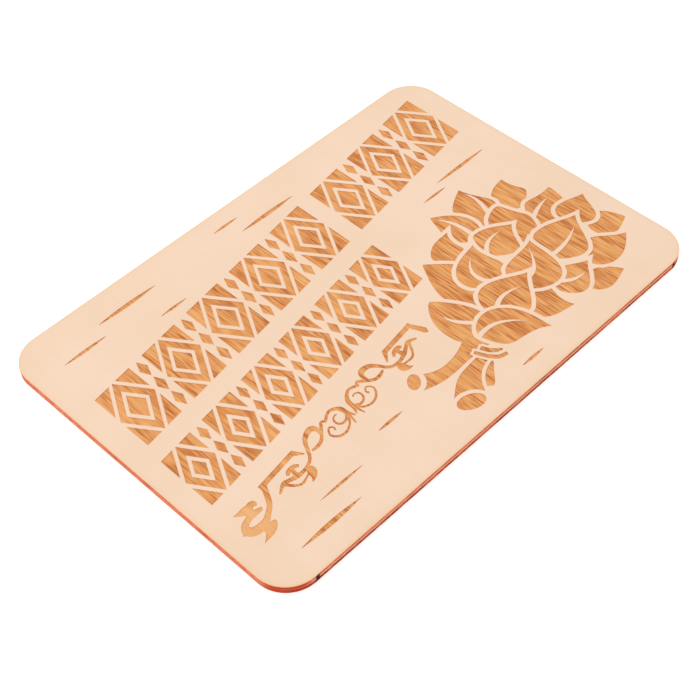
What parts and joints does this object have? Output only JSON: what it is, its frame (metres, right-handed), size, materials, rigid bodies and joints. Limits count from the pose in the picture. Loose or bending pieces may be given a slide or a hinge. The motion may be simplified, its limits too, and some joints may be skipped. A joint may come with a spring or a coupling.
{
  "type": "wooden plaque",
  "caption": "Thin plywood plaque with round corners, its face laser-engraved with friezes of rhombs, a scroll and a bunch of leaves on twigs.",
  "frame": {"origin": "middle of the back face", "axes": "+Z out of the engraved face, +Y up when the plaque hangs, +X to the right along its long side"},
  "size_m": [0.16, 0.11, 0.0028],
  "materials": {
    "face_birch": "sanded birch veneer, bare, with burnt brown engraving and a charred edge",
    "core_birch": "cross-grain birch veneer, charred where its edge shows",
    "back_birch": "sanded birch veneer, bare, with a charred edge",
    "glue": "hardened plywood resin, dark and matt"
  },
  "bodies": {
    "root": {"face_veneer": "face_birch", "front_glue_line": "glue", "core_veneer": "core_birch", "rear_glue_line": "glue", "back_veneer": "back_birch"}
  },
  "joints": []
}
